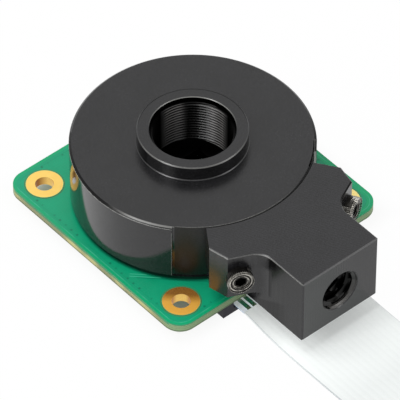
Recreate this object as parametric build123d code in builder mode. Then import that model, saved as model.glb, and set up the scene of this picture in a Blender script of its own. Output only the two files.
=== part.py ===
"""Board camera module: a square circuit board, a round lens housing with a tripod foot, and a flat ribbon.

All sizes are in millimetres. The origin is on the lens axis at the top face of the board. +Z runs along
the lens axis, out of the housing's mouth, and the tripod foot and the ribbon leave towards -Y.
"""
import os
from math import cos, radians, sin, tan

from build123d import *

# Circuit board
board_size = 38.0
board_thickness = 1.4
board_corner_radius = 2.75
mount_hole_spacing = 30.0
mount_hole_radius = 1.35
pad_radius = 2.8
pad_thickness = 0.04

# Lens housing: drum, collar and the threaded bore for the lens
drum_radius = 17.5
drum_height = 10.57
rim_chamfer_width = 0.35
rim_chamfer_height = 0.3
skirt_gap = 1.1
skirt_radius = 16.5
collar_radius = 7.95
collar_height = 2.43
collar_edge = 0.15
collar_flare = 0.12
lens_thread_radius = 6.0
mouth_step = 0.17
mouth_depth = 0.8
mouth_edge = 0.1
chamber_radius = 10.5
chamber_height = 4.8

# Seat that is milled back into the drum for the tripod foot
seat_depth = 0.37
seat_half_angle = 50.2
seat_clearance = 0.08

# Tripod foot
flange_depth = 6.52
flange_end_angle = 34.5
flange_end_depth = 4.25
flange_lift = 3.05
facet_angle = 25.15
facet_half_width = 1.55
relief_radius = 3.0
foot_rise = 0.25
foot_width = 13.84
foot_length = 14.25
foot_drop = 0.41
foot_board_gap = 0.2
foot_edge = 0.2
tripod_thread_radius = 3.175
tripod_mouth_radius = 3.3
tripod_mouth_angle = 82.0
tripod_depth = 9.0
tripod_hole_height = 5.0

# Socket cap screws, all of one thread
screw_radius = 1.0
screw_hole_clearance = 0.1
thread_fit_clearance = 0.03
screw_head_radius = 1.85
screw_head_height = 1.3
screw_head_edge = 0.2
screw_socket_width = 1.5
screw_socket_depth = 0.8
screw_mouth_radius = 1.2
screw_mouth_depth = 0.15
screw_tip_clearance = 0.4
foot_screw_length = 10.0
housing_screw_length = 5.0
housing_screw_circle = 14.2
housing_screw_count = 3

# Image sensor
sensor_length = 11.4
sensor_width = 10.6
sensor_height = 1.2
sensor_wall = 1.2
sensor_floor = 0.4
die_clearance = 0.7
die_height = 0.35
cover_glass_inset = 0.5
cover_glass_thickness = 0.5

# Ribbon connector, with its contacts on the board side of the slot
ways = 15
pitch = 1.0
connector_inset = 1.7
connector_length = 4.6
connector_height = 2.75
connector_end_wall = 1.23
slot_depth = 2.7
slot_headroom = 0.36
slot_play = 0.1
contact_width = 0.35
contact_thickness = 0.2
contact_tail = 1.2
contact_riser_inset = 0.6
contact_reach = 3.6
contact_clearance = 0.02
anchor_width = 1.2
anchor_length = 1.2
anchor_thickness = 0.2

# Sliding latch of the connector
latch_gap = 0.1
latch_bar_depth = 1.12
latch_foot_gap = 0.1
latch_ear_width = 1.9
latch_ear_gap = 0.2
latch_arm_width = 0.9
latch_arm_length = 2.6
latch_tongue_length = 2.2
latch_tongue_thickness = 0.3
latch_hook_length = 0.6
latch_hook_depth = 0.25
latch_hook_height = 1.2
latch_travel = 1.0

# Flat ribbon
ribbon_width = 16.0
ribbon_thickness = 0.3
ribbon_centre_drop = 1.4
ribbon_insertion = 2.4
bare_length = 5.5
bare_thickness = 0.15
ribbon_contact_width = 0.66
ribbon_contact_thickness = 0.04
stiffener_thickness = 0.15
route_arc_share = 0.45

# Parts soldered to the underside
oscillator_length = 3.2
oscillator_width = 2.5
oscillator_base_height = 0.4
oscillator_lid_height = 0.45
oscillator_lid_inset = 0.25
regulator_length = 2.9
regulator_width = 1.6
regulator_height = 1.1
regulator_standoff = 0.1
regulator_edge = 0.12
regulator_pitch = 0.95
lead_width = 0.4
lead_reach = 0.6
lead_thickness = 0.15
lead_shoulder_height = 0.55
capacitor_length = 1.0
capacitor_width = 0.8
capacitor_height = 0.8
resistor_length = 1.0
resistor_width = 0.8
resistor_height = 0.35
chip_cap_length = 0.3
inductor_size = 2.5
inductor_height = 1.2
inductor_cap_length = 0.6

# Places on the underside
oscillator_place = (6.4, 8.6)
regulator_places = [(-9.6, 7.6), (-9.6, 3.2), (9.6, 3.2)]
inductor_places = [(-4.9, 9.4), (-4.9, 5.4)]
capacitor_columns = [-4.5, -1.5, 1.5, 4.5]
capacitor_rows = [1.6, -1.0]
capacitor_pair = [(0.6, 9.6), (0.6, 7.4)]
resistor_columns = [-6.0, -3.6, -1.2, 1.2, 3.6, 6.0]
resistor_row = -6.6

# Ribbon's route: distance out from the end of its bare contacts, and height above what it lies on
route_steps = [(1.9, 1.02), (5.1, 0.48), (10.1, 0.15), (19.6, 0.15), (34.1, 0.33), (51.1, 0.15), (69.1, 0.16)]
route_length = 88.9


def polar(radius, angle):
    """Point at this radius from the lens axis, at this angle from -Y towards +X."""
    return (radius * sin(radians(angle)), -radius * cos(radians(angle)))


def facet_plane(radius, angle):
    """Plane that faces away from the lens axis, at the mid height of the foot's flanges."""
    x, y = polar(radius, angle)
    normal_x, normal_y = polar(1, angle)
    return Plane(origin=(x, y, flange_middle), x_dir=(0, 0, 1), z_dir=(normal_x, normal_y, 0))


def bounded(low_x, high_x, low_y, high_y):
    """Rectangle between these limits, for use inside a sketch."""
    with Locations(((low_x + high_x) / 2, (low_y + high_y) / 2)):
        Rectangle(high_x - low_x, high_y - low_y)


def cap_screw(length):
    """Socket cap screw whose head seats on Z = 0, with its shank below."""
    with BuildPart() as screw:
        with BuildSketch(Plane.XY):
            Circle(screw_head_radius)
        extrude(amount=screw_head_height)
        chamfer(screw.edges().group_by(Axis.Z)[-1], screw_head_edge)
        with BuildSketch(Plane.XY.offset(screw_head_height)):
            Circle(screw_mouth_radius)
        extrude(amount=-screw_mouth_depth, mode=Mode.SUBTRACT)
        with BuildSketch(Plane.XY.offset(screw_head_height)):
            RegularPolygon(screw_socket_width / 2, 6, major_radius=False)
        extrude(amount=-screw_socket_depth, mode=Mode.SUBTRACT)
        with BuildSketch(Plane.XY):
            Circle(screw_radius)
        extrude(amount=-length)
    return screw.part


def end_caps(places, length, width, height, cap):
    """Two metal end caps for each chip part on the underside."""
    offset = (length - cap) / 2
    with BuildPart(underside) as caps:
        with Locations(*[(x + side * offset, -y) for x, y in places for side in (-1, 1)]):
            Box(cap, width, height, align=standing)
    return caps


def chip_bodies(places, length, width, height, cap):
    """The body of each chip part on the underside, between its end caps."""
    with BuildPart(underside) as bodies:
        with Locations(*[(x, -y) for x, y in places]):
            Box(length - 2 * cap, width, height, align=standing)
    return bodies


def keep(piece, label):
    """Name a finished piece and write its file."""
    piece.part.label = label
    export_step(piece.part, f"parts/{label}.step")


os.makedirs("parts", exist_ok=True)

# Levels and planes that several pieces share
board_edge = board_size / 2
board_underside = -board_thickness
underside = Plane(origin=(0, 0, board_underside), x_dir=(1, 0, 0), z_dir=(0, 0, -1))
standing = (Align.CENTER, Align.CENTER, Align.MIN)
collar_top = drum_height + collar_height
seat_radius = drum_radius - seat_depth
foot_seat_radius = seat_radius + seat_clearance
facet_radius = foot_seat_radius + flange_depth
foot_top = drum_height + foot_rise
foot_front = -(seat_radius + foot_length)
foot_back = -(board_edge + foot_board_gap)
flange_middle = (flange_lift + foot_top) / 2
foot_screw_planes = [facet_plane(facet_radius, angle) for angle in (-facet_angle, facet_angle)]
housing_screw_angles = [180 + turn * 360 / housing_screw_count for turn in range(housing_screw_count)]
housing_screw_places = [polar(housing_screw_circle, angle) for angle in housing_screw_angles]
ribbon_level = board_underside - ribbon_centre_drop
floor_level = board_underside - connector_height
connector_front = -(board_edge - connector_inset)
connector_back = connector_front + connector_length
connector_half = ribbon_width / 2 + connector_end_wall
ribbon_tip = connector_front + ribbon_insertion
ribbon_start = ribbon_tip - bare_length
contact_face = ribbon_level + ribbon_contact_thickness
slot_top = contact_face + slot_headroom

# Circuit board, with its corner holes and the clearance holes for the housing's screws
with BuildPart() as circuit_board:
    with BuildSketch(Plane.XY.offset(board_underside)):
        RectangleRounded(board_size, board_size, board_corner_radius)
        with GridLocations(mount_hole_spacing, mount_hole_spacing, 2, 2):
            Circle(mount_hole_radius, mode=Mode.SUBTRACT)
        with Locations(*housing_screw_places):
            Circle(screw_radius + screw_hole_clearance, mode=Mode.SUBTRACT)
    extrude(amount=board_thickness)
keep(circuit_board, "circuit_board")

# Plated pads round the corner holes, one on each face
with BuildPart() as mounting_pads:
    for level, rise in ((0, pad_thickness), (board_underside, -pad_thickness)):
        with BuildSketch(Plane.XY.offset(level)):
            with GridLocations(mount_hole_spacing, mount_hole_spacing, 2, 2):
                Circle(pad_radius)
                Circle(mount_hole_radius, mode=Mode.SUBTRACT)
        extrude(amount=rise)
keep(mounting_pads, "mounting_pads")

# Lens housing: turned drum and collar, milled back where the tripod foot seats
mouth_radius = lens_thread_radius + mouth_step
with BuildPart() as lens_housing:
    with BuildSketch(Plane.XZ):
        Polygon(
            (chamber_radius, 0),
            (chamber_radius, chamber_height),
            (lens_thread_radius, chamber_height),
            (lens_thread_radius, collar_top - mouth_depth),
            (mouth_radius, collar_top - mouth_depth),
            (mouth_radius, collar_top - mouth_edge),
            (mouth_radius + mouth_edge, collar_top),
            (collar_radius - collar_edge, collar_top),
            (collar_radius, collar_top - collar_edge),
            (collar_radius, drum_height + collar_flare),
            (collar_radius + collar_flare, drum_height),
            (drum_radius - rim_chamfer_width, drum_height),
            (drum_radius, drum_height - rim_chamfer_height),
            (drum_radius, skirt_gap),
            (skirt_radius, skirt_gap),
            (skirt_radius, 0),
            align=None,
        )
    revolve(axis=Axis.Z)
    with BuildSketch(Plane.XY.offset(skirt_gap)):
        with BuildLine():
            seat = CenterArc((0, 0), seat_radius, -90 - seat_half_angle, 2 * seat_half_angle)
            rim = CenterArc((0, 0), drum_radius + seat_depth, -90 - seat_half_angle, 2 * seat_half_angle)
            Line(seat @ 0, rim @ 0)
            Line(seat @ 1, rim @ 1)
        make_face()
    extrude(amount=drum_height - skirt_gap, mode=Mode.SUBTRACT)
    with BuildSketch(Plane.XY):
        with Locations(*housing_screw_places):
            Circle(screw_radius + thread_fit_clearance)
    extrude(amount=housing_screw_length - board_thickness + screw_tip_clearance, mode=Mode.SUBTRACT)
    for plane in foot_screw_planes:
        with BuildSketch(plane):
            Circle(screw_radius + thread_fit_clearance)
        extrude(amount=-(foot_screw_length + screw_tip_clearance), mode=Mode.SUBTRACT)
keep(lens_housing, "lens_housing")

# Tripod foot: a block with two flanges, a round seat and a threaded hole in its front face
facet_x, facet_y = polar(facet_radius, facet_angle)
facet_run_x = cos(radians(facet_angle)) * facet_half_width
facet_run_y = sin(radians(facet_angle)) * facet_half_width
side = foot_width / 2
relief_corner = (side, facet_y - (facet_x - side) * tan(radians(facet_angle)))
foot_outline = [
    polar(foot_seat_radius, flange_end_angle),
    polar(foot_seat_radius + flange_end_depth, flange_end_angle),
    (facet_x + facet_run_x, facet_y + facet_run_y),
    relief_corner,
    (side, foot_front),
]
mirrored_outline = [(-x, y) for x, y in reversed(foot_outline)]
with BuildPart() as tripod_foot:
    with BuildSketch(Plane.XY.offset(flange_lift)) as flange_plan:
        with BuildLine():
            Polyline(*foot_outline, *mirrored_outline)
            ThreePointArc(foot_outline[0], (0, -foot_seat_radius), mirrored_outline[-1])
        make_face()
        fillet(flange_plan.vertices().group_by(Axis.Y)[1], relief_radius)
    extrude(amount=foot_top - flange_lift)
    with BuildSketch(Plane.XY.offset(-foot_drop)):
        bounded(-side, side, foot_front, foot_back)
    extrude(amount=foot_top + foot_drop)
    top_edges = tripod_foot.faces().sort_by(Axis.Z)[-1].edges().sort_by_distance((0, 0, foot_top))[1:]
    front_edges = tripod_foot.faces().sort_by(Axis.Y)[0].edges()
    front_below_top = front_edges.sort_by(Axis.Z)[:-1]
    chamfer([*top_edges, *front_below_top], foot_edge)
    with Locations(Plane(origin=(0, foot_front, tripod_hole_height), z_dir=(0, -1, 0))):
        CounterSinkHole(tripod_thread_radius, tripod_mouth_radius, tripod_depth, tripod_mouth_angle)
    for plane in foot_screw_planes:
        with Locations(plane):
            Hole(screw_radius + screw_hole_clearance, flange_depth + seat_clearance + seat_depth)
keep(tripod_foot, "tripod_foot")

# Two screws through the foot's flanges into the drum
foot_screw = cap_screw(foot_screw_length)
with BuildPart() as foot_screws:
    with Locations(*foot_screw_planes):
        add(foot_screw)
keep(foot_screws, "foot_screws")

# Screws from under the board into the housing
housing_screw = cap_screw(housing_screw_length)
with BuildPart() as housing_screws:
    with Locations(*[underside * Location((x, -y, 0)) for x, y in housing_screw_places]):
        add(housing_screw)
keep(housing_screws, "housing_screws")

# Image sensor: package with a cavity, the silicon in it and the glass over it
with BuildPart() as sensor_package:
    with BuildSketch(Plane.XY):
        Rectangle(sensor_length, sensor_width)
    extrude(amount=sensor_height)
    with BuildSketch(Plane.XY.offset(sensor_floor)):
        Rectangle(sensor_length - 2 * sensor_wall, sensor_width - 2 * sensor_wall)
    extrude(amount=sensor_height - sensor_floor, mode=Mode.SUBTRACT)
keep(sensor_package, "sensor_package")

with BuildPart() as sensor_die:
    with BuildSketch(Plane.XY.offset(sensor_floor)):
        die_margin = 2 * (sensor_wall + die_clearance)
        Rectangle(sensor_length - die_margin, sensor_width - die_margin)
    extrude(amount=die_height)
keep(sensor_die, "sensor_die")

with BuildPart() as sensor_cover_glass:
    with BuildSketch(Plane.XY.offset(sensor_height)):
        Rectangle(sensor_length - 2 * cover_glass_inset, sensor_width - 2 * cover_glass_inset)
    extrude(amount=cover_glass_thickness)
keep(sensor_cover_glass, "sensor_cover_glass")

# Connector body: a slot for the ribbon, a channel for each contact and a groove for each latch hook
contact_places = [((way - (ways - 1) / 2) * pitch, 0) for way in range(ways)]
contact_end = connector_back - contact_reach
arm_end = connector_front + latch_arm_length
tongue_top = ribbon_level - bare_thickness - stiffener_thickness - latch_gap
tongue_bottom = tongue_top - latch_tongue_thickness
ear_top = board_underside - latch_ear_gap
ear_bottom = floor_level + latch_foot_gap
hook_middle = (ear_top + ear_bottom) / 2
groove_front = arm_end - latch_hook_length - latch_travel - latch_gap
with BuildPart() as connector_body:
    with BuildSketch(Plane.YZ):
        bounded(connector_front, connector_back, floor_level, board_underside)
    extrude(amount=connector_half, both=True)
    with BuildSketch(Plane.YZ):
        bounded(connector_front, connector_front + slot_depth, tongue_bottom - latch_gap, slot_top)
    extrude(amount=ribbon_width / 2 + slot_play, both=True, mode=Mode.SUBTRACT)
    with BuildSketch(Plane.XY.offset(slot_top)):
        with Locations(*contact_places):
            with Locations((0, (contact_end - contact_clearance + connector_back) / 2)):
                Rectangle(contact_width + 2 * contact_clearance, contact_reach + contact_clearance)
    extrude(amount=board_underside - slot_top, mode=Mode.SUBTRACT)
    for end in (-1, 1):
        with BuildSketch(Plane.YZ.offset(end * connector_half)):
            hook_half = latch_hook_height / 2 + latch_gap
            bounded(groove_front, arm_end + latch_gap, hook_middle - hook_half, hook_middle + hook_half)
        extrude(amount=-end * (latch_hook_depth + latch_gap), mode=Mode.SUBTRACT)
keep(connector_body, "connector_body")

# Spring contacts: solder tail, riser, beam along the slot and a dimple over the ribbon
with BuildPart() as connector_contacts:
    with BuildSketch(Plane.YZ) as contact_profile:
        riser = connector_back - contact_riser_inset
        beam_bottom = slot_top
        beam_top = slot_top + contact_thickness
        bounded(riser, connector_back + contact_tail, board_underside - contact_thickness, board_underside)
        bounded(riser, riser + contact_thickness, beam_bottom, board_underside)
        bounded(contact_end, riser + contact_thickness, beam_bottom, beam_top)
        bounded(contact_end, contact_end + contact_thickness, contact_face + contact_clearance, beam_top)
    for x, y in contact_places:
        extrude(contact_profile.sketch.moved(Location((x, y, 0))), amount=contact_width / 2, both=True)
keep(connector_contacts, "connector_contacts")

# Solder anchors at the two ends of the connector
with BuildPart() as connector_anchors:
    for end in (-1, 1):
        with BuildSketch(Plane.XY.offset(board_underside)):
            with Locations((end * (connector_half + anchor_width / 2), connector_back - anchor_length / 2)):
                Rectangle(anchor_width, anchor_length)
        extrude(amount=-anchor_thickness)
        with BuildSketch(Plane.XY.offset(board_underside)):
            wall_middle = connector_half + anchor_thickness / 2
            with Locations((end * wall_middle, connector_back - anchor_length / 2)):
                Rectangle(anchor_thickness, anchor_length)
        extrude(amount=-connector_height / 2)
keep(connector_anchors, "connector_anchors")

# Latch: front bar and tongue under the ribbon, an ear and a guide arm with a hook at each end
bar_back = connector_front - latch_gap
bar_front = bar_back - latch_bar_depth
arm_inner = connector_half + latch_gap
arm_outer = arm_inner + latch_arm_width
with BuildPart() as connector_latch:
    with BuildSketch(Plane.YZ):
        bounded(bar_front, bar_back, ear_bottom, tongue_top)
    extrude(amount=arm_outer - latch_ear_width + latch_gap, both=True)
    with BuildSketch(Plane.YZ):
        tongue_end = connector_front + latch_tongue_length
        bounded(bar_front, tongue_end, tongue_bottom, tongue_top)
    extrude(amount=ribbon_width / 2 - slot_play, both=True)
    for end in (-1, 1):
        with BuildSketch(Plane.YZ.offset(end * arm_outer)):
            bounded(bar_front, bar_back, ear_bottom, ear_top)
        extrude(amount=-end * latch_ear_width)
        with BuildSketch(Plane.YZ.offset(end * arm_outer)):
            bounded(bar_back, arm_end, ear_bottom, ear_top)
        extrude(amount=-end * latch_arm_width)
        with BuildSketch(Plane.YZ.offset(end * arm_inner)):
            hook_half = latch_hook_height / 2
            bounded(arm_end - latch_hook_length, arm_end, hook_middle - hook_half, hook_middle + hook_half)
        extrude(amount=-end * (latch_hook_depth + latch_gap))
keep(connector_latch, "connector_latch")

# Flat ribbon: out of the slot, down to the surface that the module stands on, and along it
far_rest = floor_level + stiffener_thickness + ribbon_thickness / 2
route_points = [
    (ribbon_start, ribbon_level),
    *[(ribbon_start - out, floor_level + height) for out, height in route_steps],
    (ribbon_start - route_length, far_rest),
]
route_radii = []
for before, here, after in zip(route_points, route_points[1:], route_points[2:]):
    run_in = Vector(*here) - Vector(*before)
    run_out = Vector(*after) - Vector(*here)
    half_turn = radians(run_in.get_angle(run_out)) / 2
    route_radii.append(route_arc_share * min(run_in.length, run_out.length) / tan(half_turn))
print("ribbon arc radii:", [round(radius, 1) for radius in route_radii])

with BuildLine(Plane.YZ) as ribbon_route:
    FilletPolyline(*route_points, radius=route_radii)
ribbon_path = ribbon_route.wires()[0]
ribbon_end = ribbon_path @ 1
print("ribbon length from tip to tip:", round(ribbon_path.length + 2 * bare_length, 2))
with BuildPart() as ribbon_film:
    with BuildSketch(Plane(origin=ribbon_path @ 0, x_dir=(1, 0, 0), z_dir=ribbon_path % 0)):
        Rectangle(ribbon_width, ribbon_thickness)
    sweep(path=ribbon_path)
    with BuildSketch(Plane.YZ):
        bounded(ribbon_start, ribbon_tip, ribbon_level - bare_thickness, ribbon_level)
        bounded(ribbon_end.Y - bare_length, ribbon_end.Y, far_rest - bare_thickness, far_rest)
    extrude(amount=ribbon_width / 2, both=True)
keep(ribbon_film, "ribbon_film")

# Bare conductors at each end of the ribbon, and the stiffener under each end
for name, start, level in (
    ("near", ribbon_start, ribbon_level),
    ("far", ribbon_end.Y - bare_length, far_rest),
):
    with BuildPart() as ribbon_contacts:
        with BuildSketch(Plane.XY.offset(level)):
            with Locations(*[(x, start + bare_length / 2) for x, y in contact_places]):
                Rectangle(ribbon_contact_width, bare_length)
        extrude(amount=ribbon_contact_thickness)
    keep(ribbon_contacts, f"ribbon_contacts_{name}")

with BuildPart() as ribbon_stiffener_near:
    with BuildSketch(Plane.XY.offset(ribbon_level - bare_thickness)):
        with Locations((0, ribbon_tip - bare_length / 2)):
            Rectangle(ribbon_width, bare_length)
    extrude(amount=-stiffener_thickness)
keep(ribbon_stiffener_near, "ribbon_stiffener_near")

with BuildPart() as ribbon_stiffener_far:
    with BuildSketch(Plane.XY.offset(far_rest - bare_thickness)):
        with Locations((0, ribbon_end.Y - bare_length / 2)):
            Rectangle(ribbon_width, bare_length)
    extrude(amount=-stiffener_thickness)
keep(ribbon_stiffener_far, "ribbon_stiffener_far")

# Clock oscillator: ceramic base and metal lid
with BuildPart(underside) as oscillator_base:
    with Locations((oscillator_place[0], -oscillator_place[1])):
        Box(oscillator_length, oscillator_width, oscillator_base_height, align=standing)
keep(oscillator_base, "oscillator_base")

with BuildPart(underside.offset(oscillator_base_height)) as oscillator_lid:
    with Locations((oscillator_place[0], -oscillator_place[1])):
        lid_length = oscillator_length - 2 * oscillator_lid_inset
        lid_width = oscillator_width - 2 * oscillator_lid_inset
        Box(lid_length, lid_width, oscillator_lid_height, align=standing)
keep(oscillator_lid, "oscillator_lid")

# Voltage regulators: moulded bodies, and gull-wing leads on both long sides
with BuildPart(underside.offset(regulator_standoff)) as voltage_regulators:
    with Locations(*[(x, -y) for x, y in regulator_places]):
        Box(regulator_length, regulator_width, regulator_height, align=standing)
    chamfer(voltage_regulators.edges().group_by(Axis.Z)[0], regulator_edge)
keep(voltage_regulators, "voltage_regulators")

regulator_side = regulator_width / 2
with BuildPart() as regulator_leads:
    for x, y in regulator_places:
        for direction, columns in ((-1, (-1, 0, 1)), (1, (-1, 1))):
            with BuildSketch(Plane.YZ.offset(x)) as lead_profile:
                near = y + direction * regulator_side
                knee = near + direction * lead_reach / 2
                toe = near + direction * lead_reach
                shoulder = board_underside - lead_shoulder_height
                riser_back = knee - direction * lead_thickness
                shoulder_bottom = shoulder - lead_thickness
                bounded(*sorted((near, knee)), shoulder_bottom, shoulder)
                bounded(*sorted((riser_back, knee)), shoulder_bottom, board_underside)
                bounded(*sorted((knee, toe)), board_underside - lead_thickness, board_underside)
            for column in columns:
                profile = lead_profile.sketch.moved(Location((column * regulator_pitch, 0, 0)))
                extrude(profile, amount=lead_width / 2, both=True)
keep(regulator_leads, "regulator_leads")

# Chip capacitors, resistors and inductors, with their end caps
capacitor_places = [(x, y) for y in capacitor_rows for x in capacitor_columns] + capacitor_pair
resistor_places = [(x, resistor_row) for x in resistor_columns]
capacitor_sizes = (capacitor_length, capacitor_width, capacitor_height, chip_cap_length)
keep(chip_bodies(capacitor_places, *capacitor_sizes), "capacitors")
keep(end_caps(capacitor_places, *capacitor_sizes), "capacitor_caps")
resistor_sizes = (resistor_length, resistor_width, resistor_height, chip_cap_length)
keep(chip_bodies(resistor_places, *resistor_sizes), "resistors")
keep(end_caps(resistor_places, *resistor_sizes), "resistor_caps")
inductor_sizes = (inductor_size, inductor_size, inductor_height, inductor_cap_length)
keep(chip_bodies(inductor_places, *inductor_sizes), "inductors")
keep(end_caps(inductor_places, *inductor_sizes), "inductor_caps")
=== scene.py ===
"""Looks of the board camera module: camera, ribbon, finishes, threads, screw heads, light and floor."""
import math

import bmesh
import bpy
from mathutils import Matrix, Vector


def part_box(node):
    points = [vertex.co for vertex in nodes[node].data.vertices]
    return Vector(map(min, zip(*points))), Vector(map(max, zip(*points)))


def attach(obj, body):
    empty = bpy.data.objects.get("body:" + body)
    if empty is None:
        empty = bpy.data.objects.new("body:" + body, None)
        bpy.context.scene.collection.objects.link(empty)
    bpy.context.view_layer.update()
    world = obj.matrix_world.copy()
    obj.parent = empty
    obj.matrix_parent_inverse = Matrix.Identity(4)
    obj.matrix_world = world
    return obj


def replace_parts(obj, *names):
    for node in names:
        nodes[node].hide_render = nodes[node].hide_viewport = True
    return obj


MM = 0.001
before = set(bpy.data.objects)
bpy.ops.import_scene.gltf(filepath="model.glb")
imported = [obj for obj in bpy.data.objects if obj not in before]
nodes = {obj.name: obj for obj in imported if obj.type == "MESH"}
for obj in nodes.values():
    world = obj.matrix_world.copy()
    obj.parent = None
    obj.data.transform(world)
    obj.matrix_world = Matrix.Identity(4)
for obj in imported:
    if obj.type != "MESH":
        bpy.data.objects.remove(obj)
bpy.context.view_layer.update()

# Places read from the frame, in metres
board_low, board_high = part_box("circuit_board")
film_low, film_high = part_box("ribbon_film")
foot_low, foot_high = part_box("tripod_foot")
housing_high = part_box("lens_housing")[1]
floor_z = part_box("connector_body")[0].z
ribbon_half = film_high.x

# Sizes in millimetres, from the frame or as in the part's source
board_edge = board_high.x / MM
board_underside = board_low.z / MM
board_corner_radius = 2.75
hole_place = 15.0
hole_radius = 1.35
chamber_radius = 10.5
drum_radius = housing_high.x / MM
drum_height = 10.57
chamfer_foot = drum_height - 0.3
seat_radius = drum_radius - 0.37
seat_corner = (13.44, -11.2)
collar_radius = 7.95
collar_top = housing_high.z / MM
mouth_radius = 6.17
mouth_depth = 0.8
lens_thread_radius = 6.0
foot_front = foot_low.y / MM
foot_side = foot_high.x / MM
foot_top = foot_high.z / MM
tripod_thread_radius = 3.175
tripod_mouth_radius = 3.3
tripod_hole_height = 5.0
facet_angle = math.radians(25.15)
facet_radius = 23.73
flange_middle = 6.935
head_radius = 1.85
head_height = 1.3
housing_screw_circle = 14.2
housing_screw_count = 3

# Edge of the solder mask round each plated ring, in millimetres
mask_opening = 2.68


# Camera, at the photograph's angle
azimuth, elevation = math.radians(-40.639), math.radians(46.038)
distance = 723.2 * MM
back = Vector(
    (
        math.sin(azimuth) * math.cos(elevation),
        -math.cos(azimuth) * math.cos(elevation),
        math.sin(elevation),
    )
)
right = Vector((math.cos(azimuth), math.sin(azimuth), 0))
up = back.cross(right)
view_right, view_down = 1.019 * MM, 1.119 * MM
camera = bpy.data.objects.new("camera", bpy.data.cameras.new("camera"))
camera.data.sensor_width = 36
camera.data.lens = 457.2
camera.data.clip_start = 0.01
camera.data.clip_end = 50
camera.location = back * distance + right * view_right - up * view_down
camera.rotation_mode = "QUATERNION"
camera.rotation_quaternion = (-back).to_track_quat("-Z", "Y")
bpy.context.collection.objects.link(camera)
bpy.context.scene.camera = camera


# Mesh helpers
def mesh_object(name, points, faces, smooth=True):
    """A piece at the origin from its points and faces, with its faces turned outwards."""
    mesh = bpy.data.meshes.new(name)
    mesh.from_pydata([tuple(point) for point in points], [], faces)
    shape = bmesh.new()
    shape.from_mesh(mesh)
    bmesh.ops.recalc_face_normals(shape, faces=shape.faces)
    shape.to_mesh(mesh)
    shape.free()
    for polygon in mesh.polygons:
        polygon.use_smooth = smooth
    piece = bpy.data.objects.new(name, mesh)
    bpy.context.collection.objects.link(piece)
    return piece


def sharpen(piece, degrees):
    """Keep the edges that turn by more than this angle crisp."""
    shape = bmesh.new()
    shape.from_mesh(piece.data)
    for edge in shape.edges:
        edge.smooth = edge.calc_face_angle(math.pi) < math.radians(degrees)
    shape.to_mesh(piece.data)
    shape.free()


def plain_mesh(holder):
    """The mesh that an object gives once it is evaluated."""
    bpy.context.view_layer.update()
    return bpy.data.meshes.new_from_object(holder.evaluated_get(bpy.context.evaluated_depsgraph_get()))


def finish_piece(piece, material, body="module"):
    """Give a new piece its material and the body that it rides on."""
    piece.data.materials.clear()
    piece.data.materials.append(material)
    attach(piece, body)
    return piece


def dress(node, material):
    """Give a CAD node its material."""
    target = nodes[node]
    if not target.material_slots:
        target.data.materials.append(material)
    for holder in target.material_slots:
        holder.material = material


# Flat ribbon: one smooth curve from the slot to the far end
bare_length = 5.5 * MM
film_half = 0.15 * MM
near_tip_y = film_high.y
route = [
    (near_tip_y / MM, -2.8),
    (-20.4, -2.8),
    (-22.3, -3.13),
    (-25.5, -3.67),
    (-30.5, -4.0),
    (-40.0, -4.0),
    (-54.5, -3.82),
    (-71.5, -4.0),
    (-89.5, -3.99),
    (-109.3, -3.85),
    (film_low.y / MM, -3.85),
]
ribbon_curve = bpy.data.curves.new("ribbon_route", "CURVE")
ribbon_curve.dimensions = "3D"
ribbon_spline = ribbon_curve.splines.new("NURBS")
ribbon_spline.points.add(len(route) - 1)
for point, (y, z) in zip(ribbon_spline.points, route):
    point.co = (0, y * MM, z * MM, 1)
ribbon_spline.order_u = 3
ribbon_spline.use_endpoint_u = True
ribbon_spline.resolution_u = 12
ribbon_line = bpy.data.objects.new("ribbon_route", ribbon_curve)
bpy.context.collection.objects.link(ribbon_line)
ribbon_path = [vertex.co.copy() for vertex in plain_mesh(ribbon_line).vertices]
bpy.data.objects.remove(ribbon_line)

conductor_count = 15
conductor_pitch = 1.0 * MM
conductor_half = 0.33 * MM
conductor_rise = 0.006 * MM
conductor_shoulder = 0.06 * MM
conductors_half_width = conductor_count * conductor_pitch / 2


def film_stations():
    """Places across the film and how far it rises there over a conductor."""
    stations = [(-ribbon_half, 0)]
    for conductor in range(conductor_count):
        middle = (conductor - (conductor_count - 1) / 2) * conductor_pitch
        inner = conductor_half - conductor_shoulder
        stations += [
            (middle - conductor_half, 0),
            (middle - inner, conductor_rise),
            (middle + inner, conductor_rise),
            (middle + conductor_half, 0),
        ]
    return stations + [(ribbon_half, 0)]


def make_ribbon():
    """The film along its path: full thickness, and stripped to its lower half at the two bare ends."""
    stations = film_stations()
    points, rows = [], []
    near_end = near_tip_y - bare_length
    far_start = film_low.y + bare_length
    for index, here in enumerate(ribbon_path):
        before = ribbon_path[max(index - 1, 0)]
        after = ribbon_path[min(index + 1, len(ribbon_path) - 1)]
        run = (after - before).normalized()
        normal = Vector((0, -run.z, run.y))
        if normal.z < 0:
            normal = -normal
        stripped = here.y > near_end or here.y < far_start
        row = []
        for x, rise in stations:
            row.append(len(points))
            points.append(Vector((x, here.y, here.z)) + normal * (0 if stripped else film_half + rise))
        for x, _ in reversed(stations):
            row.append(len(points))
            points.append(Vector((x, here.y, here.z)) - normal * film_half)
        rows.append(row)
    faces = []
    for first, second in zip(rows, rows[1:]):
        for index in range(len(first)):
            follow = (index + 1) % len(first)
            faces.append((first[index], first[follow], second[follow], second[index]))
    faces.append(tuple(reversed(rows[0])))
    faces.append(tuple(rows[-1]))
    piece = mesh_object("ribbon", points, faces)
    sharpen(piece, 20)
    return piece


ribbon = make_ribbon()


# Node tools
def give(socket, value):
    """Link a field to a socket, or set the socket to a number, a colour or a material."""
    if isinstance(value, Field):
        value.tree.links.new(value.socket, socket)
    elif socket.type == "RGBA":
        socket.default_value = (*value, 1)
    else:
        socket.default_value = value


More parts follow.
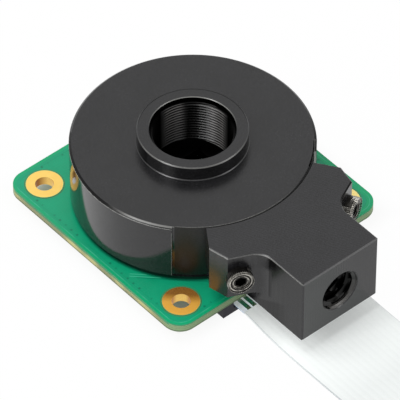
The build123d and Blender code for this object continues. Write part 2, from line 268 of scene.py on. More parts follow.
def add_node(tree, kind, settings=None, inputs=None, out=0):
    """One output of a new node: its settings come first, then the values or links of its sockets."""
    node = tree.nodes.new(kind)
    for title, value in (settings or {}).items():
        setattr(node, title, value)
    for title, value in (inputs or {}).items():
        give(node.inputs[title], value)
    return Field(tree, node.outputs[out])


def maths(operation, *values, clamp=False):
    """A Math node on these values, of which one or more are fields."""
    tree = next(value.tree for value in values if isinstance(value, Field))
    settings = {"operation": operation, "use_clamp": clamp}
    return add_node(tree, "ShaderNodeMath", settings, dict(enumerate(values)))


def span(first, second):
    """The distance that these two offsets at right angles make."""
    return maths("SQRT", first * first + second * second)


class Field:
    """A value in a node tree. Arithmetic on it adds Math nodes; & takes the lower value and | the higher."""

    def __init__(self, tree, socket):
        self.tree = tree
        self.socket = socket

    def __add__(self, other):
        return maths("ADD", self, other)

    def __radd__(self, other):
        return maths("ADD", other, self)

    def __sub__(self, other):
        return maths("SUBTRACT", self, other)

    def __rsub__(self, other):
        return maths("SUBTRACT", other, self)

    def __mul__(self, other):
        return maths("MULTIPLY", self, other)

    def __rmul__(self, other):
        return maths("MULTIPLY", other, self)

    def __truediv__(self, other):
        return maths("DIVIDE", self, other)

    def __abs__(self):
        return maths("ABSOLUTE", self)

    def __gt__(self, other):
        return maths("GREATER_THAN", self, other)

    def __lt__(self, other):
        return maths("LESS_THAN", self, other)

    def __and__(self, other):
        return maths("MINIMUM", self, other)

    def __or__(self, other):
        return maths("MAXIMUM", self, other)

    def clipped(self):
        """The value held between 0 and 1."""
        return maths("MINIMUM", self, 1, clamp=True)

    def ramp(self, start, stop):
        """0 up to the start, 1 from the stop on, and even between them."""
        return ((self - start) / (stop - start)).clipped()

    def between(self, low, high):
        """1 between the two values, 0 outside."""
        return (self > low) & (self < high)

    def at(self, place, width):
        """1 within this distance of the place, 0 outside."""
        return abs(self - place) < width

    def near(self, place, width):
        """1 within this distance of the place, falling to 0 at twice the distance."""
        return abs(self - place).ramp(2 * width, width)

    def wave(self, period):
        """A sine from 0 to 1 with this period."""
        return maths("SINE", self * (2 * math.pi / period)) * 0.5 + 0.5

    def repeat(self, pitch, start=0):
        """The offset from the nearest of the places that lie a pitch apart, counted from the start."""
        return (maths("FRACT", (self - start) / pitch + 0.5) - 0.5) * pitch


class Finish:
    """One material: its shader, the place and facing of its surface, and the nodes that feed it."""

    def __init__(self, name, **constants):
        self.material = bpy.data.materials.new(name)
        self.material.use_nodes = True
        self.tree = self.material.node_tree
        self.shader = self.tree.nodes["Principled BSDF"]
        self.feed(**constants)
        self.place = self.node("ShaderNodeTexCoord", out="Object")
        self.x, self.y, self.z = (part / MM for part in self.split(self.place))

    def node(self, kind, settings=None, inputs=None, out=0):
        return add_node(self.tree, kind, settings, inputs, out)

    def split(self, vector):
        """The x, y and z of a vector."""
        parts = self.node("ShaderNodeSeparateXYZ", {}, {0: vector}).socket.node.outputs
        return [Field(self.tree, part) for part in parts]

    def facing(self):
        """The x, y and z of the direction that the surface faces."""
        return self.split(self.node("ShaderNodeTexCoord", out="Normal"))

    def from_axis(self):
        """The distance from the lens axis, in mm."""
        return span(self.x, self.y)

    def toward(self, direction):
        """The distance from the lens axis along a direction on the board, in mm."""
        return self.x * direction[0] + self.y * direction[1]

    def noise(self, size_mm, detail=2.0, roughness=0.5, stretch=None):
        """Noise with features of about this size, from 0 to 1."""
        place = self.place
        if stretch:
            place = self.node("ShaderNodeMapping", {}, {"Vector": place, "Scale": stretch})
        return self.node(
            "ShaderNodeTexNoise",
            {},
            {"Vector": place, "Scale": 1 / (size_mm * MM), "Detail": detail, "Roughness": roughness},
        )

    def mix(self, share, low, high):
        """From the first colour to the second as the share goes from 0 to 1."""
        return self.node("ShaderNodeMix", {"data_type": "RGBA"}, {0: share, 6: low, 7: high}, 2)

    def layered(self, colour, *layers):
        """A colour with others laid over it in turn, each with its share."""
        for share, upper in layers:
            colour = self.mix(share, colour, upper)
        return colour

    def feed(self, **inputs):
        """Values or links for the shader's own sockets."""
        for title, value in inputs.items():
            give(self.shader.inputs[title.replace("_", " ").title().replace("Ior", "IOR")], value)
        return self

    def bump(self, height, depth_mm):
        """Relief of this height field, up to this depth."""
        relief = self.node("ShaderNodeBump", {}, {"Height": height, "Distance": depth_mm * MM})
        return self.feed(normal=relief)


# Finishes: the deepest black, and the board's directions to the right and to the back of the photograph
# pure_black paints shade on the drum, the foot, the threads and the screw sockets, and colours the cover
# glass's sides
pure_black = (0, 0, 0)
rightwards = (0.759, -0.651)
backwards = (0.651, 0.759)


def anodised_drum():
    """Black aluminium turned on the lathe: matt top and glossy wall, with painted shade that blackens the
    mouth, the seat, the rims and the collar's sides, painted highlights along its edges, and painted light
    and shade on the step beside the foot.
    """
    made = Finish("anodised_drum", ior=1.5)
    grain = made.noise(0.2, 3.0, 0.6)
    cloud = made.noise(4.0)
    fleck = made.noise(0.11, 2.0, 0.7)
    flecked = fleck.ramp(0.38, 0.63)
    from_axis = made.from_axis()
    toward_right = made.toward(rightwards)
    toward_back = made.toward(backwards)
    facing_front, facing_up = (abs(part) for part in made.facing()[1:])
    flat_top = facing_up > 0.95
    edge = facing_up.between(0.2, 0.95)

    # Wall of the foot's seat, and the step at its right end, whose face is painted bright below and grey to
    # black above, as painted light and shade
    in_seat = made.y < seat_corner[1]
    seat_wall = from_axis.at(seat_radius, 0.12) & in_seat
    right_seat = seat_wall & (made.x > 9)
    step_face = facing_front.between(0.74, 0.79) & (made.x > 12.5)
    step_face = step_face & from_axis.between(seat_radius + 0.01, drum_radius - 0.03)
    upper_step = made.mix(from_axis > seat_radius + 0.19, (0.22, 0.22, 0.22), (0.02, 0.02, 0.02))
    lit_step_top = 8.0
    step = made.mix(made.z < lit_step_top, upper_step, (0.7, 0.75, 0.72))

    # Painted highlights: edges painted bright, in flecks, where they catch the light
    rim_line = made.z.at(chamfer_foot, 0.035) & (from_axis > drum_radius - 0.2)
    seat_line = from_axis.at(seat_radius - 0.09, 0.07) & (made.z > drum_height - 0.07) & in_seat
    corner_line = span(abs(made.x) - seat_corner[0], made.y - seat_corner[1]) < 0.1
    corner_line = corner_line & (made.z < 9.6)
    mouth_edge = edge & (from_axis < mouth_radius + 0.23) & (made.z > collar_top - 0.2)
    collar_edge = edge & from_axis.at(collar_radius, 0.25) & (made.z > collar_top - 0.3)
    front_rim = (from_axis > drum_radius - 0.42) & (made.z > drum_height - 0.15) & (made.x < 0)
    toward_front = made.y.ramp(-1.5, -6.5)
    back_of_collar = toward_back.ramp(0, 4)
    front_of_collar = toward_back.ramp(-1.5, -4.5)
    painted_highlight = (rim_line * flecked * 0.8) | (seat_line * made.x.ramp(6, -2) * flecked * 0.42)
    painted_highlight = painted_highlight | (corner_line * flecked * 0.3) | (mouth_edge * back_of_collar * 0.3)
    painted_highlight = painted_highlight | (collar_edge * front_of_collar * (0.1 + flecked * 0.14))
    painted_highlight = painted_highlight | (front_rim * toward_front * (1 - in_seat) * 0.24)

    # Painted shade: places painted deep black, where shade or dark reflections fall
    mouth_wall = (from_axis < mouth_radius + 0.03) & made.z.between(collar_top - 0.85, collar_top - 0.11)
    collar_line = from_axis.at(collar_radius - 0.2, 0.07) & (made.z > collar_top - 0.1)
    collar_side = from_axis.between(collar_radius - 0.35, collar_radius + 0.1) & (toward_right < -6.4)
    collar_side = collar_side & made.z.between(drum_height + 0.08, collar_top - 0.25)
    rim = edge & (from_axis > drum_radius - 0.35)
    left_rim = rim & (made.z > chamfer_foot + 0.03) & (made.x < -12)
    left_rim = left_rim * (1 - toward_front * (made.z > chamfer_foot + 0.13))
    right_rim = rim & (made.z > chamfer_foot - 0.07) & (toward_right > 11)
    painted_shade = mouth_wall | (collar_line * back_of_collar * 0.6) | (collar_side * 0.7)
    painted_shade = painted_shade | (left_rim * 0.7) | right_rim | (seat_wall * 0.35) | right_seat

    tone = (grain - 0.5) * 2.4 + cloud * 0.3 + from_axis.wave(0.16) * 0.2 + 0.15
    black = made.mix(tone.clipped(), pure_black, (0.022, 0.022, 0.024))
    duller = (flat_top * 0.16) | (edge * 0.2) | ((from_axis < mouth_radius + 0.33) * 0.16)
    duller = duller | (seat_wall * 0.24) | (right_seat * 0.8)
    lit_side = toward_right.ramp(-10, -14) & (toward_right > -15.8)
    made.feed(
        base_color=made.layered(black, (step_face, step), (painted_highlight, (0.5, 0.5, 0.47)), (painted_shade, pure_black)),
        metallic=painted_shade,
        coat_weight=lit_side * (facing_up < 0.1) * 0.25,
        roughness=0.055 + grain * 0.05 + duller,
    )
    return made.bump((grain * 0.7 + fleck * 0.4) * (0.7 + flat_top), 0.01).material


def anodised_foot():
    """Black aluminium milled flat: satin faces with cutter lines, painted highlights on the edges on one
    side, and painted shade in the gap beside the drum and on faces turned away.
    """
    made = Finish("anodised_foot", ior=1.5)
    grain = made.noise(0.2, 3.0, 0.6)
    cloud = made.noise(4.0)
    fleck = made.noise(0.11, 2.0, 0.7)
    facing_x, facing_y, facing_z = made.facing()
    flat_top = abs(facing_z) > 0.95
    edge = abs(facing_z).between(0.2, 0.95) & (made.z > foot_top - 0.32)
    front_face = facing_y < -0.98
    left_face = facing_x < -0.98
    cutter_run = (0.909, 0.417)
    cut = made.toward(cutter_run).wave(0.42)
    cut_patch = ((made.noise(5.0) - 0.45) * 6).clipped()

    # Painted highlights: edges and corners that catch the light, and the front face's left part, painted
    # lighter
    left_share = made.x.ramp(3, -9)
    highlight_side = (0.08 - facing_x * 1.15).clipped()
    corner = abs(made.x).at(foot_side, 0.12) & (made.y < -28)
    painted_highlight = edge * (made.z < foot_top - 0.07) * highlight_side * ((fleck - 0.25) * 1.6)
    painted_highlight = painted_highlight | (corner * 0.04) | (front_face * left_share * 0.06)

    # Painted shade: the gap beside the drum, edges turned away, the front face's right part and the left face
    # above the ribbon, painted black
    gap = (made.from_axis() < drum_radius) & (made.z > foot_top - 0.62)
    ribbon_line_height, ribbon_line_slope = -10.83, -0.553
    above_ribbon = ((ribbon_line_height + made.y * ribbon_line_slope - made.z) / 0.7).clipped()
    above_ribbon = above_ribbon * made.y.ramp(-34, -26)
    painted_shade = gap | ((edge & (facing_x > 0.2)) * 0.8) | (front_face * (1 - left_share) * 0.12)
    painted_shade = painted_shade | ((left_face & (made.y < -22)) * 0.6)
    painted_shade = painted_shade | ((left_face & (made.y < -18.5)) * above_ribbon * 0.85)

    tone = (grain - 0.5) * 2.4 + cloud * 0.3 + cut * 0.2 + 0.15
    black = made.mix(tone.clipped(), pure_black, (0.022, 0.022, 0.025))
    made.feed(
        base_color=made.layered(black, (painted_highlight, (0.3, 0.3, 0.285)), (painted_shade, pure_black)),
        metallic=painted_shade,
        roughness=0.19 + grain * 0.06 + flat_top * (0.07 + cut * cut_patch * 0.05) + edge * 0.12,
    )
    return made.bump(grain * 0.7 + cut * cut_patch * 0.6, 0.01).material


def thread_black():
    """The anodised ridges inside the two threaded holes, duller and darker than the walls outside, with
    painted shade and bands of painted light.
    """
    made = Finish("thread_black", ior=1.42)
    grain = made.noise(0.12, 3.0)
    fleck = made.noise(0.1, 3.0, 0.7)
    toward_right = made.toward(rightwards)
    in_bore = made.y > -8

    # Lens bore: painted shade blackens its two sides, its grooves and its middle, with a band of painted
    # light each side
    side_start = 3.8 + (toward_right > 0) * 0.4
    side = ((abs(toward_right) - side_start) / 0.8).clipped() * in_bore
    groove = (made.from_axis() > lens_thread_radius - 0.14) * in_bore
    dark_middle = toward_right.near(-0.2, 0.75) * in_bore
    left_band = toward_right.near(-2.7, 0.8) * in_bore * made.z.ramp(5, 10)
    right_band = toward_right.near(3.5, 0.7) * in_bore
    lit_band = (left_band * 0.25 | right_band * 0.3) * (1 - groove)

    # Tripod hole: painted light on the lower side of the first turn, where the mouth's cone cuts it; painted
    # shade blackens the deep turns
    cut_mouth = (made.y < foot_front + 0.9) & (made.z < 4.9) & (made.x > -1.6)
    lit_cut = cut_mouth * fleck * (made.x.ramp(2.6, 0.4) * 0.7 + 0.3)
    deep = made.y.between(foot_front + 1.2, -8)

    ridge = made.mix(grain, (0.002, 0.002, 0.002), (0.012, 0.012, 0.011))
    painted_shade = side | (groove * 0.75) | (dark_middle * 0.65) | (deep * 0.6)
    made.feed(
        base_color=made.layered(ridge, (lit_cut | lit_band, (0.23, 0.22, 0.21)), (painted_shade, pure_black)),
        metallic=painted_shade,
        roughness=0.2 + grain * 0.08,
    )
    return made.bump(grain, 0.006).material


def screw_black():
    """Oiled black steel, with painted highlights on the knurl's teeth, the head's rim and round the socket, a
    faint patchy wear tint, and painted shade in the socket.
    """
    made = Finish("screw_black", metallic=0.9)
    grain = made.noise(0.09, 3.0)
    wear_and_glint_noise = made.noise(0.35, 4.0, 0.7)
    facing_x, facing_y, _ = made.facing()
    lean, reach = math.sin(facet_angle), math.cos(facet_angle)
    above = made.z - flange_middle
    from_screw = span(abs(made.x) * reach + made.y * lean, above)
    depth = facet_radius + head_height - (abs(made.x) * lean - made.y * reach)
    faces_out = abs(facing_x) * lean - facing_y * reach > 0.5
    # Painted highlights: bright rings on the head's face, and the knurl's teeth on the side where light falls
    rings = from_screw.at(1.68, 0.17) | (from_screw.at(1.12, 0.11) * 0.8)
    # Painted shade: the socket's hollow is painted pure black
    socket = (from_screw < 0.9) & (depth > 0.2) & (made.z > 0)
    lit_depth = (depth < 0.3) | ((made.x > 0) & depth.between(0.35, 0.9))
    teeth = (from_screw > head_radius + 0.025) & lit_depth & (above > -0.7)
    patchy = ((wear_and_glint_noise - 0.3) * 2.6).clipped()
    highlights_and_wear = (teeth * wear_and_glint_noise * 0.9) | (rings * faces_out * patchy + wear_and_glint_noise * 0.03)
    made.feed(
        base_color=made.layered((0.009, 0.008, 0.007), (highlights_and_wear, (0.78, 0.75, 0.68)), (socket, pure_black)),
        roughness=0.24 + grain * 0.2,
    )
    return made.bump(grain, 0.008).material


def from_corner_hole(made):
    """Offsets from the nearest corner hole, across and along the board, and the distance from it."""
    across, along = abs(made.x) - hole_place, abs(made.y) - hole_place
    return across, along, span(across, along)


def board_green(made, tone, speck, edge_inset):
    """The solder mask: an uneven green with lines round the board, vias and tracks, a painted highlight along
    the mask's raised edge, and painted shade under the drum's rim.
    """
    broken = made.noise(2.0).ramp(0.35, 0.55)
    from_axis = made.from_axis()
    hole_distance = from_corner_hole(made)[2]

    # Vias in a row along each side
    along_side = abs(made.x) & abs(made.y)
    from_via = span(along_side.repeat(1.27, 0.45), edge_inset - 1.15)
    via_row = along_side.between(2.4, 9.9) | along_side.between(11.9, 13.4)
    via = from_via.ramp(0.24, 0.12) * via_row

    # Tracks that cross the left corner at 45 degrees
    beside = (made.x + made.y) * math.sqrt(0.5)
    run = (made.x - made.y) * math.sqrt(0.5)
    tracks = (beside.near(-16.55, 0.045) & (run < -5.2)) | (beside.near(-17.0, 0.045) & (run < -3.2))
    tracks = tracks & (run > -7.6)
    track_shade = beside.near(-17.2, 0.07) * (run > -6.6) * (made.y < -6)

    thin_edge = ((edge_inset < 0.5) * 0.5) | ((edge_inset < 1.0) * (made.x > 15) * 0.7)
    # Painted highlight along the mask's raised edge, left off the back edge
    mask_edge_highlight = edge_inset.near(0.52, 0.04) * broken * (made.y < 17)
    dark_line = edge_inset.near(1.0, 0.04) * broken
    under_lens = (from_axis < chamber_radius + 0.1) & (made.z > -0.7)
    return made.layered(
        made.mix(tone * 0.7 + speck * 0.3, (0.001, 0.275, 0.13), (0.005, 0.385, 0.195)),
        (thin_edge, (0.001, 0.4, 0.15)),
        (mask_edge_highlight * 0.4, (0.12, 0.62, 0.42)),
        (dark_line * 0.3, (0.0, 0.2, 0.1)),
        (via * (0.08 + broken * 0.5), (0.0, 0.09, 0.05)),
        (tracks * 0.5, (0.1, 0.62, 0.4)),
        (track_shade * 0.4, (0.0, 0.12, 0.07)),
        # Painted shade on the board under the drum's rim
        (from_axis.ramp(drum_radius, drum_radius - 0.6) * 0.95, (0.0, 0.02, 0.012)),
        (hole_distance.between(mask_opening, 2.9) * 0.8, (0.1, 0.13, 0.03)),
        (under_lens, (0.008, 0.008, 0.009)),
    )


def board_laminate(made):
    """The sawn edge: glass layers, paler in stretches, with the mask's rim on top and a dark foot."""
    layers = made.z.wave(0.35)
    fibre = made.noise(0.3, 3.0, 0.6, (1, 1, 6))
    left_side = made.x < 0.1 - board_edge
    pale_stretch = (made.noise(5.0) * 6 - 2.6).clipped() * (0.25 + left_side * 0.6)
    pale_stretch = pale_stretch * made.y.ramp(-16, -11)
    mask_rim = made.z + left_side * 0.25 > -0.22
    dark_foot = made.z < board_underside + 0.26
    return made.layered(
        made.mix(layers * 0.4 + fibre * 0.6, (0.15, 0.25, 0.12), (0.3, 0.41, 0.22)),
        (left_side * made.y.ramp(-17.5, -14.5) * 0.7, (0.26, 0.23, 0.12)),
        (pale_stretch, (0.54, 0.5, 0.22)),
        (mask_rim * 0.8, (0.01, 0.25, 0.12)),
        (dark_foot * (0.3 + fibre * 0.5), (0.05, 0.065, 0.035)),
    )


def solder_mask_board():
    """Green mask on both faces, laminate at the edge and plating in the corner holes."""
    made = Finish("solder_mask_board", ior=1.42)
    tone = made.noise(2.6, 3.0)
    speck = made.noise(0.12)
    weave = (made.x.wave(0.42) + made.y.wave(0.42)) * 0.5
    face = (made.z > -0.002) | (made.z < board_underside + 0.002)
    across, along = abs(made.x), abs(made.y)
    corner = board_edge - board_corner_radius
    round_inset = board_corner_radius - span((across - corner) | 0, (along - corner) | 0)
    edge_inset = (board_edge - (across | along)) & round_inset
    green = board_green(made, tone, speck, edge_inset)

    # Plating in the holes, with painted shade on the barrel beside the line of sight and in the left corner
    hole_x, hole_y, hole_distance = from_corner_hole(made)
    barrel = hole_distance < hole_radius + 0.07
    beside_hole = abs(hole_x * rightwards[0] + hole_y * rightwards[1])
    gold = made.layered(
        made.mix(speck, (0.7, 0.42, 0.09), (0.92, 0.64, 0.2)),
        (beside_hole.ramp(0.65, 1.15) * (made.y < 0) * 0.75, (0.45, 0.15, 0.02)),
        (made.toward(rightwards).ramp(-20.7, -22.1) * (made.y > 0) * 0.9, (0.22, 0.06, 0.004)),
    )
    plated = (1 - face) * barrel
    made.feed(
        base_color=made.layered(board_laminate(made), (barrel, gold), (face, green)),
        metallic=plated,
        roughness=0.62 - face * 0.3 - plated * 0.28 + speck * 0.06,
    )
    return made.bump(weave * 0.35 * face + tone * 0.4 + edge_inset.near(0.52, 0.05) * 0.5, 0.02).material


def gold_plating():
    """Plated rings, brushed and uneven in tone, with painted shade on the front pad, darker toward the drum,
    and a paler painted highlight on the right-hand pads; the mask covers their outer edge.
    """
    made = Finish("gold_plating")
    brushed = made.noise(0.14, 4.0, 0.75)
    blotch = made.noise(1.1, 3.0)
    masked = from_corner_hole(made)[2] > mask_opening
    # Painted shade on the front pad and a painted highlight on the pads to the right
    front_corner = (made.x < 0) * (made.y < 0)
    painted_pad_shade = made.from_axis().ramp(21.6, 20.0) * front_corner
    made.feed(
        base_color=made.layered(
            made.mix(blotch * 0.5 + brushed * 0.5, (0.96, 0.57, 0.09), (1.0, 0.74, 0.22)),
            (front_corner * 0.75, (0.95, 0.44, 0.045)),
            ((made.x > 0) * 0.7, (1.0, 0.86, 0.34)),
            (painted_pad_shade * (0.4 + brushed * 0.9), (0.23, 0.08, 0.012)),
            (masked, (0.003, 0.3, 0.14)),
        ),
        metallic=(1 - masked) * 0.45,
        roughness=0.36 + brushed * 0.16,
    )
    return made.bump(brushed, 0.02).material


def plain_finish(name, dark, light, roughness, size_mm=0.4, metallic=0.0, ior=1.45):
    """A moulded, fired or plated surface: two tones, an uneven gloss and a fine relief."""
    made = Finish(name, metallic=metallic, ior=ior)
    grain = made.noise(size_mm / 5)
    made.feed(
        base_color=made.mix(made.noise(size_mm, 3.0), dark, light),
        roughness=roughness - 0.05 + grain * 0.1,
    )
    return made.bump(grain, 0.006).material


def ribbon_white():
    """White film over bright conductors; at the bare ends the base film between them shows pale blue. Painted
    shade darkens the film's two edges, and the film glows with painted light toward the foot.
    """
    made = Finish("ribbon_white", ior=1.1, emission_strength=0.3)
    cloud = made.noise(3.0)
    grain = made.noise(0.15)
    over_conductor = made.x.repeat(conductor_pitch / MM).at(0, conductor_half / MM)
    over_conductor = over_conductor & (abs(made.x) < conductors_half_width / MM)
    near_end = made.y > (near_tip_y - bare_length) / MM + 0.02
    far_end = made.y < (film_low.y + bare_length) / MM - 0.02
    stripped = made.mix(grain, (0.7, 0.76, 0.88), (0.8, 0.85, 0.94))
    made.feed(
        base_color=made.layered(
            made.mix(over_conductor * 0.4 + cloud * 0.5, (0.75, 0.78, 0.77), (0.79, 0.82, 0.81)),
            # Painted shade along the film's two edges
            (abs(made.x) > ribbon_half / MM - 0.08, (0.5, 0.53, 0.54)),
            (near_end | far_end, stripped),
        ),
        # Painted light: a glow that lifts the foot's shadow on the film near the foot
        emission_color=made.mix(made.y.ramp(-42, -30), (0.08, 0.08, 0.08), (0.8, 0.82, 0.81)),
        roughness=0.32 + grain * 0.08,
    )
    return made.bump(grain, 0.004).material


def cover_glass():
    """Clear glass with black side faces."""
    made = Finish("cover_glass", ior=1.52, transmission_weight=1.0, coat_weight=0.3)
    haze = made.noise(1.5)
    black_side_faces = abs(made.facing()[2]) < 0.5
    clear = made.mix(haze, (0.55, 0.72, 0.7), (0.66, 0.8, 0.78))
    made.feed(
        base_color=made.mix(black_side_faces, clear, pure_black),
        metallic=black_side_faces,
        roughness=0.02 + haze * 0.03,
    )
    return made.material


def silicon():
    """The sensor's pixel field inside a border of bond pads."""
    made = Finish("silicon", metallic=0.7)
    die_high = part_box("sensor_die")[1]
    border = (die_high.x / MM - abs(made.x)) & (die_high.y / MM - abs(made.y)) < 0.5
    pads = border & (made.x.wave(0.3) > 0.6) & (made.y.wave(0.3) > 0.4)
    shade = made.noise(2.0)
    field = made.mix(shade, (0.03, 0.035, 0.06), (0.07, 0.05, 0.09))
    rim = made.mix(pads, (0.05, 0.06, 0.06), (0.6, 0.55, 0.35))
    made.feed(base_color=made.mix(border, field, rim), roughness=0.18 + shade * 0.08)
    return made.material


# Materials of the CAD nodes and of the new pieces
thread_material = thread_black()
screw_material = screw_black()
ribbon_material = ribbon_white()
moulding = plain_finish("black_moulding", (0.018, 0.018, 0.019), (0.04, 0.04, 0.042), 0.55)
tin = plain_finish("tinned_metal", (0.55, 0.55, 0.54), (0.85, 0.85, 0.83), 0.28, 0.3, 1.0)
stiffener = plain_finish("stiffener_blue", (0.35, 0.5, 0.7), (0.45, 0.6, 0.78), 0.35, 1.0)
ceramic = plain_finish("sensor_ceramic", (0.003, 0.003, 0.003), (0.006, 0.006, 0.006), 0.8, ior=1.2)
oscillator = plain_finish("oscillator_ceramic", (0.03, 0.028, 0.026), (0.055, 0.05, 0.045), 0.6)
connector = plain_finish("connector_plastic", (0.62, 0.56, 0.45), (0.72, 0.67, 0.56), 0.5)
latch = plain_finish("latch_plastic", (0.012, 0.012, 0.018), (0.024, 0.023, 0.034), 0.5, ior=1.28)
capacitor = plain_finish("capacitor_ceramic", (0.36, 0.25, 0.15), (0.5, 0.38, 0.25), 0.4)
ferrite = plain_finish("ferrite", (0.09, 0.09, 0.095), (0.17, 0.17, 0.18), 0.6)
node_materials = {
    "circuit_board": solder_mask_board(),
    "mounting_pads": gold_plating(),
    "lens_housing": anodised_drum(),
    "housing_screws": screw_material,
    "tripod_foot": anodised_foot(),
    "foot_screws": screw_material,
    "sensor_package": ceramic,
    "sensor_die": silicon(),
    "sensor_cover_glass": cover_glass(),
    "connector_body": connector,
    "connector_contacts": tin,
    "connector_anchors": tin,
    "connector_latch": latch,
    "ribbon_contacts_near": tin,
    "ribbon_contacts_far": tin,
    "ribbon_stiffener_near": stiffener,
    "ribbon_stiffener_far": stiffener,
    "oscillator_base": oscillator,
    "oscillator_lid": tin,
    "voltage_regulators": moulding,
    "regulator_leads": tin,
    "capacitors": capacitor,
    "capacitor_caps": tin,
    "resistors": moulding,
    "resistor_caps": tin,
    "inductors": ferrite,
    "inductor_caps": tin,
}
for node, material in node_materials.items():
    dress(node, material)

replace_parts(finish_piece(ribbon, ribbon_material), "ribbon_film")


# Threads
thread_profile = (0.0, 0.0, 0.5, 1.0, 1.0, 0.5, 0.0, 0.0)
sleeve_points_around = 96
sleeve_play = 0.01 * MM
sleeve_sink = 0.06 * MM


def thread_rise(turns):
    """How far the thread stands out at this many turns, from 0 in its groove to 1 on its crest."""
    steps = len(thread_profile)
    phase = turns % 1 * steps
    low = int(phase) % steps
    share = phase - int(phase)
    return thread_profile[low] * (1 - share) + thread_profile[(low + 1) % steps] * share


def thread_sleeve(name, start, run, length, pitch, wall_radius, crest_radius, mouth_radius, mouth_depth):
    """A closed sleeve in a bore whose inside is the thread. Its crests are cut back by the mouth's cone."""
    around = sleeve_points_around
    steps = len(thread_profile)
    count = int(round(length / pitch * steps)) + 1
    side = run.orthogonal().normalized()
    other = run.cross(side)
    spokes = []
    for turn in range(around):
        angle = 2 * math.pi * turn / around
        spokes.append(side * math.cos(angle) + other * math.sin(angle))
    groove_radius = wall_radius - sleeve_play
    ridge_height = wall_radius - crest_radius
    points = []
    for step in range(count):
        depth = length * step / (count - 1)
        cone = mouth_radius - (mouth_radius - crest_radius) * depth / mouth_depth
        for turn, spoke in enumerate(spokes):
            radius = groove_radius - ridge_height * thread_rise(step / steps + turn / around)
            radius = max(radius, min(cone, groove_radius))
            points.append(start + run * depth + spoke * radius)
    for depth in (length, 0):
        points += [start + run * depth + spoke * (wall_radius + sleeve_sink) for spoke in spokes]
    rows = count + 2
    faces = []
    for row in range(rows):
        first, second = row * around, (row + 1) % rows * around
        for turn in range(around):
            follow = (turn + 1) % around
            faces.append((first + turn, first + follow, second + follow, second + turn))
    piece = mesh_object(name, points, faces)
    sharpen(piece, 28)
    return piece


lens_thread = thread_sleeve(
    "lens_thread_ridges",
    start=Vector((0, 0, (collar_top - mouth_depth) * MM)),
    run=Vector((0, 0, -1)),
    length=7.4 * MM,
    pitch=0.5 * MM,
    wall_radius=lens_thread_radius * MM,
    crest_radius=5.73 * MM,
    mouth_radius=lens_thread_radius * MM,
    mouth_depth=0.08 * MM,
)
finish_piece(lens_thread, thread_material)
tripod_thread = thread_sleeve(
    "tripod_thread_ridges",
    start=Vector((0, foot_low.y + 0.12 * MM, tripod_hole_height * MM)),
    run=Vector((0, 1, 0)),
    length=8.8 * MM,
    pitch=1.27 * MM,
    wall_radius=tripod_thread_radius * MM,
    crest_radius=2.55 * MM,
    mouth_radius=tripod_mouth_radius * MM,
    mouth_depth=0.6 * MM,
)
finish_piece(tripod_thread, thread_material)


# Geometry Nodes
class Grower:
    """A Geometry Nodes tree with named inputs, turned into a plain mesh once it is made."""

    def __init__(self, name, **inputs):
        self.name = name
        self.tree = bpy.data.node_groups.new(name, "GeometryNodeTree")
        self.tree.interface.new_socket("Geometry", in_out="OUTPUT", socket_type="NodeSocketGeometry")
        self.values = {}
        for title, value in inputs.items():
            kind = "NodeSocketInt" if isinstance(value, int) else "NodeSocketFloat"
            socket = self.tree.interface.new_socket(title, in_out="INPUT", socket_type=kind)
            self.values[socket.identifier] = value
        self.entry = self.tree.nodes.new("NodeGroupInput")
        self.exit = self.tree.nodes.new("NodeGroupOutput")

    def given(self, title):
        """One of the tree's inputs."""
        return Field(self.tree, self.entry.outputs[title])

    def add(self, kind, settings=None, inputs=None):
        return add_node(self.tree, kind, settings, inputs)

    def grow(self, geometry, material, places):
        """Realise the geometry, give it its material, and copy its mesh to each place in one piece."""
        solid = self.add("GeometryNodeRealizeInstances", {}, {0: geometry})
        solid = self.add("GeometryNodeSetMaterial", {}, {"Geometry": solid, "Material": material})
        give(self.exit.inputs[0], solid)
        holder = bpy.data.objects.new(self.name, bpy.data.meshes.new(self.name))
        bpy.context.collection.objects.link(holder)
        modifier = holder.modifiers.new(self.name, "NODES")
        modifier.node_group = self.tree
        for identifier, value in self.values.items():
            modifier[identifier] = value
        source = plain_mesh(holder)
        holder.modifiers.clear()
        shape = bmesh.new()
        for place in places:
            copy = source.copy()
            copy.transform(place)
            shape.from_mesh(copy)
        shape.to_mesh(holder.data)
        shape.free()
        return holder


def knurl(name, heads):
    """Straight knurling round the heads of screws: one ridge instanced round a head, copied to each."""
    knurl_height = (head_height - 0.35) * MM
    grower = Grower(name, Ridges=44, Radius=(head_radius - 0.02) * MM, Height=knurl_height, Rise=0.09 * MM)
    ring = grower.add(
        "GeometryNodeMeshCircle",
        {"fill_type": "NONE"},
        {"Vertices": grower.given("Ridges"), "Radius": grower.given("Radius")},
    )
    ridge = grower.add(
        "GeometryNodeMeshCone",
        {"fill_type": "NGON"},
        {
            "Vertices": 4,
            "Radius Top": grower.given("Rise"),
            "Radius Bottom": grower.given("Rise"),
            "Depth": grower.given("Height"),
        },
    )
    place = grower.add("GeometryNodeInputPosition")
    turn = grower.add("FunctionNodeAlignRotationToVector", {"axis": "X"}, {"Vector": place})
    ridges = grower.add(
        "GeometryNodeInstanceOnPoints",
        {},
        {"Points": ring, "Instance": ridge, "Rotation": turn},
    )
    lift = Matrix.Translation((0, 0, knurl_height / 2 + 0.08 * MM))
    knurls = grower.grow(ridges, screw_material, [head @ lift for head in heads])
    return finish_piece(knurls, screw_material)


def place_along(origin, run):
    """A place whose Z axis runs this way."""
    return Matrix.Translation(origin) @ run.to_track_quat("Z", "Y").to_matrix().to_4x4()


foot_heads = []
for side in (-1, 1):
    outward = Vector((side * math.sin(facet_angle), -math.cos(facet_angle), 0))
    middle = outward * facet_radius + Vector((0, 0, flange_middle))
    foot_heads.append(place_along(middle * MM, outward))
knurl("foot_screw_knurls", foot_heads)

housing_heads = []
for turn in range(housing_screw_count):
    angle = math.pi + 2 * math.pi * turn / housing_screw_count
    middle = Vector((math.sin(angle), -math.cos(angle), 0)) * housing_screw_circle * MM
    middle.z = board_low.z
    housing_heads.append(place_along(middle, Vector((0, 0, -1))))
knurl("housing_screw_knurls", housing_heads)


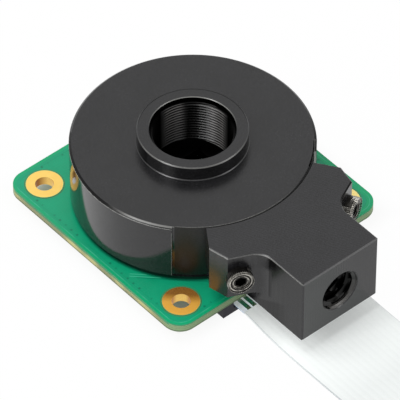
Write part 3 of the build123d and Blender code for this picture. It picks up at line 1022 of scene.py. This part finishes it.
# Light, floor and background
def softbox(name, place, size, power):
    """A square area light that points at the object."""
    lamp = bpy.data.objects.new(name, bpy.data.lights.new(name, "AREA"))
    lamp.data.shape = "RECTANGLE"
    lamp.data.size = lamp.data.size_y = size
    lamp.data.energy = power
    lamp.location = place
    lamp.rotation_mode = "QUATERNION"
    lamp.rotation_quaternion = (-Vector(place)).to_track_quat("-Z", "Y")
    bpy.context.collection.objects.link(lamp)


softbox("top_softbox", (-0.3, 0.1, 0.8), 0.5, 3.2)
softbox("left_softbox", (-0.75, 0.02, 0.57), 0.32, 3.0)
softbox("front_softbox", (0.4, -0.75, 0.45), 0.4, 1.7)


def seen_by(tree, ray):
    """1 for this kind of ray, 0 for the others."""
    return add_node(tree, "ShaderNodeLightPath", out=f"Is {ray} Ray")


world = bpy.data.worlds.new("studio")
bpy.context.scene.world = world
world.use_nodes = True
sky = world.node_tree
ambient_level = 0.5
white_share = seen_by(sky, "Camera") | seen_by(sky, "Glossy") | seen_by(sky, "Transmission")
give(sky.nodes["Background"].inputs["Color"], (1, 1, 1))
give(sky.nodes["Background"].inputs["Strength"], ambient_level + white_share * (1 - ambient_level))

floor_size = 6.0
floor_level = floor_z - 0.02 * MM
corners = [(-1, -1), (1, -1), (1, 1), (-1, 1)]
floor = mesh_object(
    "floor",
    [(x * floor_size, y * floor_size, floor_level) for x, y in corners],
    [(0, 1, 2, 3)],
    smooth=False,
)
pale = Finish("pale_floor", base_color=(0.86, 0.86, 0.86), roughness=0.9)
board_shadow_middle = (1.6, 1.87)
from_shadow = abs(pale.x - board_shadow_middle[0]) | abs(pale.y - board_shadow_middle[1])
clear_of_board = from_shadow.ramp(17.3, 18.5)
far_from_board = from_shadow.ramp(19, 22)
whiten = seen_by(pale.tree, "Camera") * (clear_of_board * 0.84 + far_from_board * 0.08 + 0.06)
whiten = whiten | seen_by(pale.tree, "Glossy") | seen_by(pale.tree, "Transmission")
glow = pale.node("ShaderNodeEmission", {}, {"Strength": 1.0})
lit = Field(pale.tree, pale.shader.outputs[0])
surface = pale.node("ShaderNodeMixShader", {}, {0: whiten, 1: lit, 2: glow})
give(pale.tree.nodes["Material Output"].inputs["Surface"], surface)
floor.data.materials.append(pale.material)

bpy.context.scene.view_settings.view_transform = "Standard"
